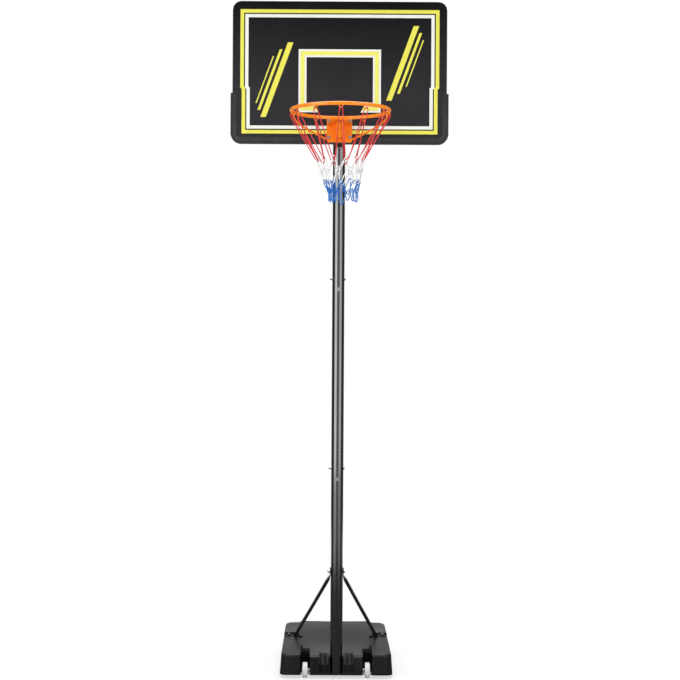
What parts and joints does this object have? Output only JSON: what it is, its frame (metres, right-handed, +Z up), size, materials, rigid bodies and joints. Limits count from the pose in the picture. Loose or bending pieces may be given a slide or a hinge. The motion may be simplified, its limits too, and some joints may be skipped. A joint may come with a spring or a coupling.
{
  "type": "basketball stand",
  "caption": "Portable basketball stand: wheeled water-filled base, round braced pole, sliding backboard with edge pad, braced ring and net.",
  "frame": {"origin": "centre of the base's underside, on the floor", "axes": "+Z up along the pole, -Y towards the ring and the wheels, +X to the right seen from the ring side"},
  "size_m": [1.0936, 1.4001, 3.411],
  "materials": {
    "moulded_tank": "satin",
    "black_enamel": "gloss",
    "zinc_steel": "satin",
    "board_plastic": "satin",
    "pad_rubber": "matte",
    "orange_enamel": "gloss",
    "wheel_plastic": "satin",
    "cap_plastic": "satin",
    "cord_red": "matte",
    "cord_white": "matte",
    "cord_blue": "matte"
  },
  "bodies": {
    "stand": {"base_tank": "moulded_tank", "lower_pole": "black_enamel", "middle_pole": "black_enamel", "upper_pole": "black_enamel", "pole_top_cap": "cap_plastic", "strut_left": "black_enamel", "strut_right": "black_enamel", "strut_bolt": "zinc_steel", "strut_nut": "zinc_steel", "axle_rod": "black_enamel", "axle_cap_left": "cap_plastic", "axle_cap_right": "cap_plastic", "joint_bolt_lower_side": "zinc_steel", "joint_nut_lower_side": "zinc_steel", "joint_bolt_lower_front": "zinc_steel", "joint_nut_lower_front": "zinc_steel", "joint_bolt_upper_side": "zinc_steel", "joint_nut_upper_side": "zinc_steel", "joint_bolt_upper_front": "zinc_steel", "joint_nut_upper_front": "zinc_steel", "foot_screw_left": "black_enamel", "foot_screw_right": "black_enamel"},
    "left_wheel": {"wheel_left": "wheel_plastic"},
    "right_wheel": {"wheel_right": "wheel_plastic"},
    "filler_lid": {"filler_cap": "cap_plastic"},
    "board_unit": {"board_panel": "board_plastic", "edge_pad": "pad_rubber", "mount_channel": "black_enamel", "rim_bracket": "orange_enamel", "rim_ring": "orange_enamel", "brace_left": "orange_enamel", "brace_right": "orange_enamel", "net_red": "cord_red", "net_white_upper": "cord_white", "net_white_lower": "cord_white", "net_blue_upper": "cord_blue", "net_blue_lower": "cord_blue", "clamp_lower": "zinc_steel", "clamp_nut_lower_left": "zinc_steel", "rim_bolt_left_lower": "zinc_steel", "rim_nut_left_lower": "zinc_steel", "clamp_nut_lower_right": "zinc_steel", "rim_bolt_right_lower": "zinc_steel", "rim_nut_right_lower": "zinc_steel", "clamp_upper": "zinc_steel", "clamp_nut_upper_left": "zinc_steel", "rim_bolt_left_upper": "zinc_steel", "rim_nut_left_upper": "zinc_steel", "clamp_nut_upper_right": "zinc_steel", "rim_bolt_right_upper": "zinc_steel", "rim_nut_right_upper": "zinc_steel", "channel_screw_left": "zinc_steel", "channel_screw_right": "zinc_steel"}
  },
  "joints": [
    {"name": "left_wheel_spin", "type": "hinge", "parent": "stand", "child": "left_wheel", "pos_m": [-0.158, -0.335, 0.039], "axis": [1, 0, 0], "continuous": true},
    {"name": "right_wheel_spin", "type": "hinge", "parent": "stand", "child": "right_wheel", "pos_m": [0.158, -0.335, 0.039], "axis": [1, 0, 0], "continuous": true},
    {"name": "filler_cap_lift", "type": "slide", "parent": "stand", "child": "filler_lid", "axis": [0, 0, 1], "range_m": [0, 0.06]},
    {"name": "board_height", "type": "slide", "parent": "stand", "child": "board_unit", "axis": [0, 0, 1], "range_m": [-0.45, 0]}
  ]
}
